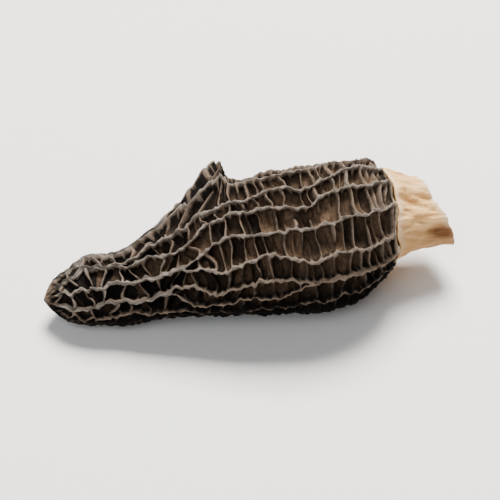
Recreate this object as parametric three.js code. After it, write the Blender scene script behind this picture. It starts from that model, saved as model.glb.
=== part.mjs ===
// A dried black morel lying on its side: a long hollow cap, covered by a raised net of
// lengthwise ridges with cross ribs between them, and the short hollow stub of its cut stem.
// Millimetres, +Z up. The axis of the mushroom runs along +X, from the tip to the cut stem.
//
// Every surface is first laid out on a straight mushroom, in cylindrical coordinates:
// x along the axis from the tip, r out from it and an angle round it. grown() then bends,
// flattens and swells that straight mushroom into the shape in which it dried.

import * as THREE from 'three';
import { mergeVertices } from 'three/addons/utils/BufferGeometryUtils.js';

// ---- driving dimensions ----

const capLength = 51.3;
const capRadius = 12; // the crests of the ridges, at the belly
const stemReach = 7.3; // the cut end past the cap's base, at the middle of its slant
const stemSlant = 2; // how far the cut slants to either side of that
const stemRadius = 6.2; // outside the stem, inside the cap's mouth
const stemWall = 0.95;
const stemCollar = 0.7; // how far the stem flares out against the cap's base
const lap = 4; // how far the stem runs up inside the cap
const clearance = 0.35; // between the stem and the cap

const flattening = 0.92; // height over width of the dried cap
const restSpot = { x: 37, halfLength: 4.8, halfWidth: 3.2 }; // the pressed spot it lies on

const pitRows = 19; // rows of pits round the belly, one between every two ridges
const pitDepth = 2.8;
const ridgeWidth = 0.48; // across a ridge's crest
const ridgeFoot = 1.1; // across a ridge's foot
const crestDip = { depth: 0.28, every: 6.1 }; // the crests rise and fall along their length
const crestLean = { reach: 0.3, every: 13 }; // they lean over past their feet
const ridgeTwist = 0.25; // how far the ridges wind round the cap, as an angle
const ridgeWanders = [{ reach: 0.2, every: 9.5 }, { reach: 0.12, every: 4.3 }];
const ribPull = { belly: 0.24, tip: 0.55, halfLength: 0.85 }; // a rib draws its ridges to it
const ribSpacing = { nearest: 1.95, furthest: 3.2 }; // along a row of pits
const ribHeights = { lowest: 0.5, highest: 0.85, tip: 0.95 }; // as shares of the pit's depth
const ribFoot = 0.42; // from a cross rib's crest to its foot
const narrowRow = { closed: 0.5, shallow: 1.7, roomy: 1.9 }; // widths of a closing row of pits
const seed = 4.7;

// How finely the surfaces are divided.
const capRows = 60;
const hollowRows = 7;
const columnsPerPit = 4;
const stemColumns = 44;

// Half outlines, [x, r], as shares of capLength and capRadius.
const capOutline = [
  [0, 0], [0.018, 0.14], [0.05, 0.29], [0.11, 0.41], [0.2, 0.465], [0.29, 0.55], [0.42, 0.71],
  [0.56, 0.87], [0.69, 0.955], [0.8, 0.955], [0.89, 0.9], [0.95, 0.82], [0.985, 0.73], [1, 0.645],
];
const hollowOutline = [
  [0.925, 0.54], [0.87, 0.59], [0.8, 0.62], [0.69, 0.61], [0.5, 0.46], [0.28, 0.26], [0.155, 0.13],
  [0.13, 0],
];

// The same for the stem past the cap's base, as shares of stemReach and stemRadius.
const stemOutline = [
  [0.1, 1.07], [0.25, 1], [0.42, 0.93], [0.6, 0.87], [0.78, 0.84], [0.92, 0.83], [1, 0.83],
];

// Where the axis lies in the dried mushroom: its height over the ground, and its drift in y,
// at distances x from the tip.
const axisHeights = [
  [-5, 3.6], [0, 4], [5, 4.45], [10, 5.2], [15, 6.4], [21, 7.9], [28, 9.3], [35, 10.25],
  [42, 10.65], [51, 10.8], [58, 10.1], [64, 9.3],
];
const axisDrifts = [
  [-5, -0.2], [0, -0.8], [8, -2], [15, -2.6], [23, -2.7], [32, -2.7], [40, -2.5], [46, -1.8],
  [52, -0.5], [58, -0.5], [64, -0.7],
];

// Waves round the cap: their height as a share of r, how many go round, the angle at which
// they start, and how far that angle turns along the cap.
const bodyWaves = [
  { height: 0.03, round: 2, start: 0.6, turns: 1.5 },
  { height: 0.026, round: 3, start: -1.1, turns: -3 },
  { height: 0.014, round: 5, start: 2, turns: 4 },
];

// Places where the cap swells out: the x and angle of the middle, the half length, the half
// width as an angle, the height as a share of r, and how far the top leans towards the stem.
const swellings = [
  { x: 21.6, angle: 0.84, halfLength: 4.8, halfWidth: 0.34, height: 0.88, lean: 5.8 }, // the lobe
  { x: 7.2, angle: 1.1, halfLength: 2.1, halfWidth: 0.55, height: 0.2 }, // knob near the tip
  { x: 11.5, angle: -2.2, halfLength: 2.6, halfWidth: 0.5, height: 0.1 },
  { x: 42, angle: -2.3, halfLength: 8, halfWidth: 0.8, height: 0.12 }, // the belly, in front
  { x: 43, angle: 0.95, halfLength: 7, halfWidth: 0.6, height: -0.07 }, // sunk in at the back
];

const turn = 2 * Math.PI;
const { smoothstep, clamp, lerp } = THREE.MathUtils;

// A fixed random number from 0 to 1 for each pair (a, b).
function chance(a, b) {
  const value = Math.sin(a * 12.9898 + b * 78.233 + seed) * 43758.5453;
  return value - Math.floor(value);
}

function bell(distance) {
  return Math.exp(-(distance ** 2));
}

function splineOf(points) {
  const curve = new THREE.SplineCurve(
    points.map(([x, r]) => new THREE.Vector2(x * capLength, r * capRadius)),
  );
  curve.arcLengthDivisions = 600;
  return curve;
}

// ---- the shape it dried in ----

// A smooth curve through [position, value] pairs in rising order.
function through(pairs, at) {
  const next = clamp(pairs.findIndex(([position]) => position > at), 1, pairs.length - 1);
  const [p0, p1, p2, p3] = [next - 2, next - 1, next, next + 1].map(
    (i) => pairs[clamp(i, 0, pairs.length - 1)],
  );
  const span = p2[0] - p1[0];
  const t = clamp((at - p1[0]) / span, 0, 1);
  const slope1 = ((p2[1] - p0[1]) / (p2[0] - p0[0])) * span;
  const slope2 = ((p3[1] - p1[1]) / (p3[0] - p1[0])) * span;
  const t2 = t * t;
  const t3 = t2 * t;
  return (
    (2 * t3 - 3 * t2 + 1) * p1[1] + (t3 - 2 * t2 + t) * slope1 +
    (3 * t2 - 2 * t3) * p2[1] + (t3 - t2) * slope2
  );
}

// Broad lumps and hollows of the mushroom: a factor on r, and how far a point leans along x.
function lumps(x, angle) {
  let factor = 1;
  let leaning = 0;
  for (const { height, round, start, turns } of bodyWaves) {
    factor += height * Math.cos(round * angle + start + (turns * x) / capLength);
  }
  for (const swelling of swellings) {
    const across = (2 * Math.sin((angle - swelling.angle) / 2)) / swelling.halfWidth;
    const swollen = bell((x - swelling.x) / swelling.halfLength) * bell(across);
    factor += swelling.height * swollen;
    leaning += (swelling.lean ?? 0) * swollen;
  }
  return { factor, leaning };
}

// From the straight mushroom to the dried one, which is pressed flat where it meets the ground.
function grown(x, r, angle) {
  const { factor, leaning } = lumps(x, angle);
  const reach = r * factor;
  const y = through(axisDrifts, x) + reach * Math.cos(angle);
  const z = through(axisHeights, x) + reach * flattening * Math.sin(angle);
  return new THREE.Vector3(x + leaning, y, Math.max(z, 0));
}

// ---- the net on the cap ----

// The share of the way round that pit row k takes. Every other row opens only part of the
// way down from the tip, where its two ridges fork, and a few close again above the base.
function pitShare(k, along) {
  const sway = 0.15 * Math.sin(turn * (along * (1.2 + 1.3 * chance(k, 2)) + chance(k, 3)));
  const opens = k % 2 ? 0.1 + 0.3 * chance(k, 4) : -1;
  const closes = k % 7 === 3 ? 0.6 + 0.15 * chance(k, 5) : 2;
  const forking = 0.12;
  const open = smoothstep(along, opens, opens + forking) *
    (1 - smoothstep(along, closes, closes + forking));
  const closedShare = 0.06;
  return (0.8 + 0.45 * chance(k, 1)) * (1 + sway) * open + closedShare;
}

const outline = splineOf(capOutline);
const outlineLength = outline.getLength();

// The cross ribs of pit row k: how far each lies from the tip along the outline, and its
// height as a share of the pit's depth.
function ribsOf(k) {
  const found = [];
  const firstRib = 2.2;
  const lastRib = outlineLength - 3;
  let at = firstRib + 1.5 * chance(k, 11);
  for (let m = 0; at < lastRib; m++) {
    const nearTip = 1 - smoothstep(at / outlineLength, 0.12, 0.3);
    const height = lerp(ribHeights.lowest, ribHeights.highest, chance(k, 100 + m));
    found.push({ at, height: lerp(height, ribHeights.tip, nearTip) });
    at += lerp(ribSpacing.nearest, ribSpacing.furthest, chance(k, 200 + m));
  }
  return found;
}

const ribs = Array.from({ length: pitRows }, (_, k) => ribsOf(k));

// How far the ridge between pit rows k - 1 and k strays sideways at a distance from the tip:
// it wanders a little, and each cross rib pulls it over to the rib's own side.
function stray(k, at) {
  const pullOf = (list) =>
    list.reduce((sum, rib) => sum + rib.height * bell((at - rib.at) / ribPull.halfLength), 0);
  const nearTip = 1 - smoothstep(at / outlineLength, 0.15, 0.35);
  const wander = ridgeWanders.reduce(
    (sum, { reach, every }, i) => sum + reach * Math.sin(turn * (at / every + chance(k, 21 + i))),
    0,
  );
  const pull = lerp(ribPull.belly, ribPull.tip, nearTip);
  return wander + pull * (pullOf(ribs[k]) - pullOf(ribs.at(k - 1)));
}

// How far the crest of that ridge leans over past its foot.
function lean(k, at) {
  return crestLean.reach * Math.sin(turn * (at / crestLean.every + chance(k, 23)));
}

// How deep the pits are at a share of the way along the outline: shallower near the tip, and
// almost nothing at the base.
function depthAt(along) {
  const growing = lerp(0.42, 1, smoothstep(along, 0.03, 0.34));
  const closing = 1 - 0.85 * smoothstep(along, 0.9, 0.985);
  return pitDepth * growing * closing;
}

// The ridges at a distance from the tip: the angle of each, how far its crest leans over as
// an angle, and the width of the pit row after it. Where a row is closed, the two ridges
// beside it run as one, so they stray and lean alike.
function ridgesAt(at) {
  const along = at / outlineLength;
  const radius = Math.max(outline.getPointAt(along).y, 0.4);
  const taper = smoothstep(radius, 1, 4); // the strays die out on the narrow tip
  const shares = ribs.map((_, k) => pitShare(k, along));
  const sumTo = (k) => shares.slice(0, k).reduce((sum, share) => sum + share, 0);
  const starts = shares.map((_, k) => (turn * sumTo(k)) / sumTo(pitRows));
  const drift = starts.reduce((sum, start) => sum + start, 0) / pitRows;
  const closed = shares.map(
    (share) => 1 - smoothstep(((turn * share) / sumTo(pitRows)) * radius, 0.4, 2),
  );
  const shared = (own, k) => {
    const after = closed[k];
    const before = closed.at(k - 1);
    const sum = own[k] + after * own[(k + 1) % pitRows] + before * own.at(k - 1);
    return (taper * sum) / (1 + after + before) / radius;
  };
  const strays = ribs.map((_, k) => stray(k, at));
  const leans = ribs.map((_, k) => lean(k, at));
  const angles = starts.map((start, k) => start - drift + ridgeTwist * along + shared(strays, k));
  angles.push(angles[0] + turn);
  return {
    radius,
    taper,
    angles,
    leans: angles.map((_, k) => shared(leans, k % pitRows)),
    widths: shares.map((_, k) => (angles[k + 1] - angles[k]) * radius),
  };
}

const rowStep = outlineLength / capRows;
const ridgeRows = Array.from({ length: capRows + 1 }, (_, row) => ridgesAt(row * rowStep));
const ribRows = ribs.map((list) => new Map(list.map((rib) => [Math.round(rib.at / rowStep), rib])));

// How much of the relief is left at a point of the straight mushroom: none on the pressed spot.
function reliefLeft(x, radius, angle) {
  const across = Math.sin(angle) < 0 ? (radius * Math.cos(angle)) / restSpot.halfWidth : Infinity;
  const offSpot = Math.hypot((x - restSpot.x) / restSpot.halfLength, across);
  return smoothstep(offSpot, 0.9, 1.5);
}

// The point of the cap's outside at a row from the tip and a column round it. A pit row has
// four columns: its ridge's near crest edge and foot, then the next ridge's foot and crest edge.
function netPoint(row, column) {
  const { angles, leans, widths, radius, taper } = ridgeRows[row];
  const k = Math.floor(column / columnsPerPit);
  const part = column % columnsPerPit;
  const ridge = part < 2 ? k : k + 1;
  const onCrest = part === 0 || part === 3;
  const rib = ribRows[k].get(row);

  // Between the ridges, the rows beside a rib close up to its foot.
  let at = row * rowStep;
  if (!onCrest && !rib) {
    const above = ribRows[k].has(row + 1);
    const below = ribRows[k].has(row - 1);
    if (above !== below) at += (above ? 1 : -1) * (rowStep - ribFoot);
  }
  const along = clamp(at / outlineLength, 0, 1);
  const place = outline.getPointAt(along);
  const tangent = outline.getTangentAt(along);

  const squeeze = Math.min(1, widths[k] / narrowRow.roomy);
  const inset = (squeeze * (onCrest ? ridgeWidth : ridgeFoot)) / 2 / radius;
  const angle = angles[ridge] + (part < 2 ? inset : -inset) + (onCrest ? leans[ridge] : 0);

  const uneven = 0.85 + 0.15 * chance(k, row >> 2);
  const floor = depthAt(along) * smoothstep(widths[k], narrowRow.closed, narrowRow.shallow) * uneven;
  const wave = Math.sin(turn * (at / crestDip.every + chance(ridge % pitRows, 24)));
  const dip = (crestDip.depth * taper * (1 + wave)) / 2;
  const inPit = floor * (rib ? 1 - rib.height : 1);
  const depth = (onCrest ? dip : inPit) * reliefLeft(place.x, radius, angle);
  return grown(place.x + depth * tangent.y, Math.max(place.y - depth * tangent.x, 0), angle);
}

// ---- surfaces ----

// A sheet of rows and columns wrapped round the axis into one closed skin.
function wrapped(rows, columns, pointAt) {
  const sheet = new THREE.PlaneGeometry(1, 1, columns, rows);
  const { position } = sheet.attributes;
  for (let row = 0, i = 0; row <= rows; row++) {
    for (let column = 0; column <= columns; column++, i++) {
      const { x, y, z } = pointAt(row, column % columns);
      position.setXYZ(i, x, y, z);
    }
  }
  sheet.deleteAttribute('normal');
  sheet.deleteAttribute('uv');
  const skin = mergeVertices(sheet, 1e-4);
  const corners = skin.index.array;
  const kept = [];
  for (let i = 0; i < corners.length; i += 3) {
    const [a, b, c] = corners.slice(i, i + 3);
    if (a !== b && b !== c && c !== a) kept.push(a, c, b);
  }
  skin.setIndex(kept);
  skin.computeVertexNormals();
  return skin;
}

// The cap: the net from the tip to the base, then the mouth, then the hollow back to its end.
function capSkin() {
  const hollow = splineOf(hollowOutline);
  const mouthRadius = stemRadius + clearance;
  const mouth = [[capLength, mouthRadius + 0.15], [capLength - lap, mouthRadius]];
  const baseAngles = ridgeRows[capRows].angles;
  const angles = Array.from({ length: pitRows * columnsPerPit }, (_, column) => {
    const k = Math.floor(column / columnsPerPit);
    return lerp(baseAngles[k], baseAngles[k + 1], ((column % columnsPerPit) + 0.5) / columnsPerPit);
  });
  return wrapped(capRows + mouth.length + hollowRows, angles.length, (row, column) => {
    if (row <= capRows) return netPoint(row, column);
    const inside = row - capRows - 1;
    if (inside < mouth.length) return grown(...mouth[inside], angles[column]);
    const place = hollow.getPointAt((inside - mouth.length + 1) / hollowRows);
    return grown(place.x, Math.max(place.y, 0), angles[column]);
  });
}

// The stem: its outside from the top, inside the cap, over the collar that meets the cap's base
// and down to the slanting cut, then its bore back up.
function stemSkin() {
  const base = capLength + clearance;
  const top = base - lap;
  const past = stemOutline.map(([x, r]) => [base + x * (stemReach - clearance), r * stemRadius]);
  const collar = [[base, stemRadius], [base + 0.02, stemRadius + stemCollar]];
  const outside = [[top, stemRadius], [base - lap / 2, stemRadius], ...collar, ...past];
  const bore = outside
    .filter((point) => !collar.includes(point))
    .map(([x, r]) => [x, Math.min(r, stemRadius) - stemWall])
    .reverse();
  const rows = [...outside, ...bore, outside[0]];
  return wrapped(rows.length - 1, stemColumns, (row, column) => {
    const [x, r] = rows[row];
    const angle = (turn * column) / stemColumns;
    const out = clamp((x - base) / stemReach, 0, 1);
    const inBore = row >= outside.length && row < rows.length - 1;
    const folds = 0.06 * Math.cos(2 * angle - 0.7) + 0.045 * Math.cos(3 * angle + 1.9) +
      (inBore ? 0.015 : 0.04) * Math.cos(7 * angle + 0.4);
    const cut = out * out * (stemSlant * Math.cos(angle + 2.2) + 0.25 * Math.cos(5 * angle));
    return grown(x + cut, r * (1 + folds * smoothstep(out, 0, 0.25)), angle);
  });
}

// ---- the mushroom ----

const cap = new THREE.Mesh(
  capSkin(),
  new THREE.MeshStandardMaterial({ name: 'cap', color: 0x3b3029, roughness: 0.85, metalness: 0 }),
);
cap.name = 'cap';

const stem = new THREE.Mesh(
  stemSkin(),
  new THREE.MeshStandardMaterial({ name: 'stem', color: 0xdcbd92, roughness: 0.8, metalness: 0 }),
);
stem.name = 'stem';

const morel = new THREE.Group();
morel.add(cap, stem);

// The origin lies under the middle of the mushroom, on the surface it rests on.
const bounds = new THREE.Box3().setFromObject(morel);
for (const { geometry } of [cap, stem]) {
  geometry.translate(-(bounds.min.x + bounds.max.x) / 2, -(bounds.min.y + bounds.max.y) / 2, 0);
}

export default morel;
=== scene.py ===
# A dried black morel lying on its side: the fine surfaces of its cap and stem over their
# solids, the flesh of both, and a pale floor, soft lights and a camera.
#
# Lengths in the dictionaries are millimetres, and angles are radians unless a name says
# degrees. Every surface is first laid out on a straight mushroom: x along the axis from the
# tip, r out from it and an angle round it. growMushroom bends that into the shape in which
# the mushroom dried, and buildSkin puts it in the frame, in metres.
#
# A pair of numbers is the least and the most of something, or the places between which it
# changes. A setting whose name ends in Along has four: a value near the tip, one further on,
# and the places between which it changes.

import math

import bpy
import numpy as np
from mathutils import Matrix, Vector


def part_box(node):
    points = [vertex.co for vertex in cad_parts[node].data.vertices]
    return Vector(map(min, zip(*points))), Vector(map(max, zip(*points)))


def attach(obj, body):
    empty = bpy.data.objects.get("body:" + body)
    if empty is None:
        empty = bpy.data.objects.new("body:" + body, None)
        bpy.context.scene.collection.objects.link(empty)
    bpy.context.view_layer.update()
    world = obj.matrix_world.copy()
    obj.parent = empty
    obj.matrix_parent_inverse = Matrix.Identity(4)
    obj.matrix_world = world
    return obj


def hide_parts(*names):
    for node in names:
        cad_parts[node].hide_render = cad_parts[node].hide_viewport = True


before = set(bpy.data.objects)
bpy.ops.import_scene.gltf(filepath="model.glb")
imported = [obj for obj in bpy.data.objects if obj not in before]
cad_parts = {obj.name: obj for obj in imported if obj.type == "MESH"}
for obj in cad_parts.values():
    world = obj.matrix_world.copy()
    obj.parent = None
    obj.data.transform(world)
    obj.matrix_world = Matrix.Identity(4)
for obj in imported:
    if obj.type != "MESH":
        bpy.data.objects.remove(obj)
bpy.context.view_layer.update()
print("frame loaded, nodes:", ", ".join(sorted(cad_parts)))

turn = 2 * math.pi
millimetre = 0.001  # in metres

mushroom = {
    "capLength": 51.3,
    "capRadius": 12.0,  # the crests of the ridges, at the belly
    "flattening": 0.92,  # height over width
    "middleY": 2.9312,  # where the middle of the straight mushroom lies in the frame
    "seed": 4.7,
    # the axis of the dried mushroom at distances x from the tip: its height, and its drift in y
    "axisHeights": [(-5, 3.6), (0, 4.0), (5, 4.45), (10, 5.2), (15, 6.4), (21, 7.9), (28, 9.3),
                    (35, 10.25), (42, 10.65), (51, 10.8), (58, 10.1), (64, 9.3)],
    "axisDrifts": [(-5, -0.2), (0, -0.8), (8, -2.0), (15, -2.6), (23, -2.7), (32, -2.7),
                   (40, -2.5), (46, -1.8), (52, -0.5), (58, -0.5), (64, -0.7)],
    # waves round the cap: height as a share of r, number round, start, turning along the cap
    "bodyWaves": [(0.03, 2, 0.6, 1.5), (0.026, 3, -1.1, -3.0), (0.014, 5, 2.0, 4.0)],
    # swellings: x, angle, half length, half width as an angle, height as a share of r, and how
    # far the top leans over towards the stem
    "swellings": [(21.6, 0.84, 4.8, 0.34, 0.88, 5.8), (7.2, 1.1, 2.1, 0.55, 0.2, 0),
                  (11.5, -2.2, 2.6, 0.5, 0.1, 0), (42, -2.3, 8, 0.8, 0.12, 0),
                  (43, 0.95, 7, 0.6, -0.07, 0)],
    # how the cap's base and the stem's collar wander along x: reach, number round, start
    "baseWander": [(0.2, 3, 0.4), (0.14, 5, 2.1), (0.1, 8, -0.7), (0.07, 13, 1.3)],
    "baseWanderLength": 2.5,  # half length of the bell by which that fades
}
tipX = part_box("cap")[0].x / millimetre
leastRadius = 0.4  # stands for any smaller radius, where something is divided by it
leastDepth = 0.1  # and for any smaller depth


def chance(a, b):
    # fixed random numbers from 0 to 1: what follows the point in a large multiple of a sine
    value = np.sin(np.multiply(a, 12.9898) + np.multiply(b, 78.233) + mushroom["seed"]) * 43758.5453
    return value - np.floor(value)


def eitherWay(a, b):
    # the same, from -1 to 1
    return 2 * chance(a, b) - 1


def bell(distance):
    # 1 at distance 0 and nearly 0 by 2: e to minus the distance squared
    return np.exp(-np.square(distance))


def smoothStep(value, low, high):
    # 0 below low, 1 above high, and three squares less two cubes of the share between them
    share = np.clip((value - low) / (high - low), 0, 1)
    return share * share * (3 - 2 * share)


def blend(first, second, share):
    # a straight mix of two values
    return first + (second - first) * share


def change(at, first, second, start, end):
    # a first value before the start, a second one past the end, and a smooth step between
    return blend(first, second, smoothStep(at, start, end))


def mound(x, angle, middle, side, halfLength, halfWidth):
    # 1 at one place on the skin, falling off round it: a bell along times a bell across,
    # whose distance is twice the sine of half the angle to that place
    across = 2 * np.sin((angle - side) / 2) / halfWidth
    return bell((x - middle) / halfLength) * bell(across)


def wavesRound(waves, angle):
    # a sum of cosines round the mushroom, each with its reach, number and start
    return sum(reach * np.cos(number * angle + start) for reach, number, start in waves)


def roughField(points, size, draw, terms=16):
    # a soft random field, mostly within -1 and 1: a sum of sines along random directions,
    # whose wavelengths are from 0.7 to 1.5 times the size
    random = np.random.default_rng(draw)
    ways = random.normal(size=(terms, 3))
    ways /= np.linalg.norm(ways, axis=1)[:, None] * size * random.uniform(0.7, 1.5, (terms, 1))
    phases = random.uniform(0, turn, terms)
    waves = (np.sin(turn * (points @ way) + phase) for way, phase in zip(ways, phases))
    return sum(waves) / math.sqrt(terms)


def hermite(t, start, end, startSlope, endSlope):
    # the cubic that goes from start to end as t goes from 0 to 1, with given slopes there
    return ((2 * start - 2 * end + startSlope + endSlope) * t**3
            + (3 * end - 3 * start - 2 * startSlope - endSlope) * t**2 + startSlope * t + start)


def through(pairs, at):
    # a smooth curve through (position, value) pairs: cubic Hermite spans, whose slope at a
    # pair is that of the line between its two neighbours
    places, values = np.array(pairs, float).T
    last = len(places) - 1
    after = np.clip(np.searchsorted(places, at, side="right"), 1, last)
    before = after - 1
    span = places[after] - places[before]
    t = np.clip((at - places[before]) / span, 0, 1)
    earlier, later = np.maximum(before - 1, 0), np.minimum(after + 1, last)
    slopeBefore = (values[after] - values[earlier]) / (places[after] - places[earlier]) * span
    slopeAfter = (values[later] - values[before]) / (places[later] - places[before]) * span
    return hermite(t, values[before], values[after], slopeBefore, slopeAfter)


def lumps(x, angle):
    # broad lumps and hollows: a factor on r, which is 1, plus cosines round the body, plus a
    # mound for each swelling, and how far the swellings lean along x
    factor, lean = 1.0, 0.0
    for height, number, start, turns in mushroom["bodyWaves"]:
        factor = factor + height * np.cos(number * angle + start + turns * x / mushroom["capLength"])
    for *place, height, over in mushroom["swellings"]:
        swollen = mound(x, angle, *place)
        factor, lean = factor + height * swollen, lean + over * swollen
    return factor, lean


def growMushroom(x, r, angle):
    # from the straight mushroom to the dried one: r is swollen by the lumps, wound round the
    # drifting axis with the height flattened, x leans with the swellings and wanders in waves
    # near the cap's base, and nothing goes below the ground
    factor, lean = lumps(x, angle)
    fromBase = (x - mushroom["capLength"]) / mushroom["baseWanderLength"]
    wander = wavesRound(mushroom["baseWander"], angle) * bell(fromBase)
    y = through(mushroom["axisDrifts"], x) + r * factor * np.cos(angle)
    z = through(mushroom["axisHeights"], x) + r * factor * mushroom["flattening"] * np.sin(angle)
    return np.stack([x + lean + wander + tipX, y + mushroom["middleY"], np.maximum(z, 0)], -1)


def addObject(name, data):
    # an object at the origin, in the scene
    thing = bpy.data.objects.new(name, data)
    bpy.context.scene.collection.objects.link(thing)
    return thing


def buildSkin(name, rings, attributes, tube=False):
    # a closed skin from a grid of points, rings by columns, in millimetres: four-sided faces
    # between neighbouring rings, which join round. A tube also joins its last ring to its
    # first, and any other skin has a fan of triangles at each end, round its end ring's middle.
    count, columns = rings.shape[:2]
    ring = np.arange(count if tube else count - 1)[:, None] * columns
    column = np.arange(columns)[None]
    nextColumn = (column + 1) % columns
    nextRing = (ring + columns) % (count * columns)
    quads = np.stack([ring + column, ring + nextColumn, nextRing + nextColumn, nextRing + column], -1)
    corners, sizes = [quads.ravel()], [np.full(quads.size // 4, 4)]
    points = rings.reshape(-1, 3)
    values = {key: grid.ravel() for key, grid in attributes.items()}
    if not tube:
        points = np.vstack([points, rings[0].mean(0), rings[-1].mean(0)])
        values = {key: np.append(grid.ravel(), [grid[0].mean(), grid[-1].mean()])
                  for key, grid in attributes.items()}
        ends, lastRing = np.full(columns, count * columns), (count - 1) * columns
        this, following = column[0], nextColumn[0]
        corners += [np.stack([ends, following, this], -1).ravel(),
                    np.stack([ends + 1, lastRing + this, lastRing + following], -1).ravel()]
        sizes.append(np.full(2 * columns, 3))
    corners, sizes = np.concatenate(corners), np.concatenate(sizes)

    mesh = bpy.data.meshes.new(name)
    mesh.vertices.add(len(points))
    mesh.vertices.foreach_set("co", (points * millimetre).astype(np.float32).ravel())
    mesh.loops.add(len(corners))
    mesh.loops.foreach_set("vertex_index", corners.astype(np.int32))
    mesh.polygons.add(len(sizes))
    mesh.polygons.foreach_set("loop_start", (np.cumsum(sizes) - sizes).astype(np.int32))
    mesh.polygons.foreach_set("use_smooth", np.ones(len(sizes), bool))
    mesh.update(calc_edges=True)
    for key, value in values.items():
        layer = mesh.attributes.new(key, "FLOAT", "POINT")
        layer.data.foreach_set("value", value.astype(np.float32))
    skin = addObject(name, mesh)
    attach(skin, "root")
    print(f"{name}: {len(points)} points, {int((sizes - 2).sum())} triangles")
    return skin


net = {
    # half outline of the crests, (x, r) as shares of capLength and capRadius
    "outline": [(0, 0), (0.018, 0.14), (0.05, 0.29), (0.11, 0.41), (0.2, 0.465), (0.29, 0.55),
                (0.42, 0.71), (0.56, 0.87), (0.69, 0.955), (0.8, 0.955), (0.89, 0.9), (0.95, 0.82),
                (0.985, 0.73), (1, 0.645)],
    "ringSteps": 418,
    "firstRing": 0.1,  # how far from the tip
    "tipRadius": 0.02,  # the least, in the ring that a fan of triangles closes
    "pitRows": 19,  # rows of pits round the belly, one between every two ridges
    "rowShares": (0.8, 1.25),  # the rows' widths against each other
    "rowSway": (0.15, 1.2, 2.5),  # share of the width, least and most waves
    "rowOpens": (0.1, 0.4),  # share of the way along where every second row opens
    "rowCloses": (0.6, 0.75),  # where every seventh row closes again
    "rowStep": 0.12,  # how much of the way that takes
    "closedRow": 0.06,  # what is left of a closed row's width
    "sharedWidths": (0.4, 2),  # widths between which the ridges stop moving together
    "pitWidths": (0.5, 1.7),  # widths between which the pits get their depth
    "roomyWidth": 1.9,  # of a row whose crests have their whole width
    "ridgeTwist": 0.25,  # how far the ridges wind round the cap
    # waves along each ridge: reach, length and random draw
    "ridgeWanders": [(0.2, 9.5, 21), (0.12, 4.3, 22), (0.07, 2.3, 41), (0.04, 1.3, 42)],
    "crestDips": [(0.14, 6.1, 24), (0.07, 1.9, 44), (0.04, 0.9, 45)],
    "crestSwells": [(0.28, 2.9, 46), (0.2, 1.3, 47)],  # of the crest's width, as shares
    "crestLeans": [(0.3, 13.0, 23)],
    "wanderAlong": (1.9, 1, 0.25, 0.5),  # by shares of the way
    "wanderRadii": (1, 4),  # between which wandering and leaning set in
    "dipAlong": (1.6, 1, 3, 12),
    "dipRadii": (0.6, 2),
    "ribPullAlong": (0.85, 0.26, 0.15, 0.35),  # on the ridges, by shares of the way
    "ribPullLength": 0.85,
    "ribKink": (0.13, 0.3),  # a sharper pull close to the rib, and its half length
    "mostRibs": 40,  # more than a row has room for
    "firstRib": (2.2, 3.7),  # how far from the tip
    "ribSpacing": (1.75, 2.9),
    "ribsEnd": 3,  # how far from the base
    "ribHeights": (0.5, 0.85),  # as shares of the pit's depth
    "tipRibs": (0.95, 0.12, 0.3),  # their height, up to the first of two shares of the way
    "mostBaseRibs": 4,  # further ribs close to the base
    "baseRibSpacing": (0.9, 1.5),
    "baseRibHeights": (0.5, 0.95),
    "baseRibsEnd": 0.6,
    "lowRibPlaces": (0.4, 0.6),  # thinner ribs between two others, as shares of the gap
    "lowRibHeights": (0, 0.75),
    "lowRibGaps": (1.7, 2.5),  # gaps wide enough for them to rise
    "lowRibAlong": (0.35, 1, 14, 28),
    "ribHalfWidths": (0.22, 0.46),
    "lowRibHalfWidths": (0.16, 0.34),
    "halfWidthAlong": (0.65, 1, 10, 30),  # of both
    "ribProfile": (0.88, 2.4, 0.6),  # share and power of its blade, half width of its foot
    "ribSlant": (2.0, 8.5),  # how far apart its ends lie along the row, and one wave of that
    "slantAlong": (1, 0.3, 22, 32),
    "ribBow": 0.3,  # how far its middle lies from its ends
    "ribCurl": 0.2,  # how far it swings to both sides
    "spurFrom": (0.68, 0.88),  # random numbers between which ribs become spurs
    "spurSpan": (0.35, 0.8),  # shares of their way across between which they sink
    "spurSink": 0.85,  # by this share of their height
    "rowPinch": 0.6,  # how close the rings draw together on a rib
    "ribReach": 0.9,  # how far outside the first and the last they still do
    "foldSpacing": (0.55, 0.9),  # of small folds across the floors of the pits
    "foldHeight": (0.1, 0.4),
    "highestFold": 0.4,  # as a share of the depth
    "foldSharpness": 1.6,
    "foldWarp": (0.25, 1.3),  # as a share of the spacing, and its waves across
    "foldWidths": (1, 2),  # of the pits between which they rise
    "pitDepth": 2.8,
    "depthAlong": (0.42, 1, 0.03, 0.34),  # by shares of the way
    "floorShares": (0.85, 1),  # of the depth, from pit to pit
    "shallowFrom": (0.9, 0.965),  # share of the way where a row starts to get shallow
    "shallowing": (0.62, 0.9),  # how much of its depth it loses by the base
    "restSpot": (37, 4.8, 3.2),  # x, half length and half width of the pressed spot
    "restEdge": (0.9, 1.5),  # in those half sizes
    # half a pit row, from the middle of a ridge to the middle of the pit. For each column: its
    # distance from the ridge, and that as a share of the row's width; its depth, and that as a
    # share of the pit's depth; its shares of the ridge's lean and of the slide towards the ribs
    "section": [(0.0, 0, 0, 0, 1, 0), (0.13, 0, 0.03, 0, 1, 0.05), (0.22, 0, 0.16, 0, 1, 0.2),
                (0.2, 0, 0.25, 0.4, 0.7, 0.6), (0.4, 0, 0.1, 0.84, 0.25, 0.9),
                (0.18, 0.25, 0, 0.97, 0, 1), (0, 0.5, 0, 1, 0, 1)],
    "rounding": 0.3,  # the most of a pit's depth that the rounding of its crests takes
}
pitIndex = np.arange(net["pitRows"])
pitRow = pitIndex[:, None, None]  # for grids of pit rows by rings by columns


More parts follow.
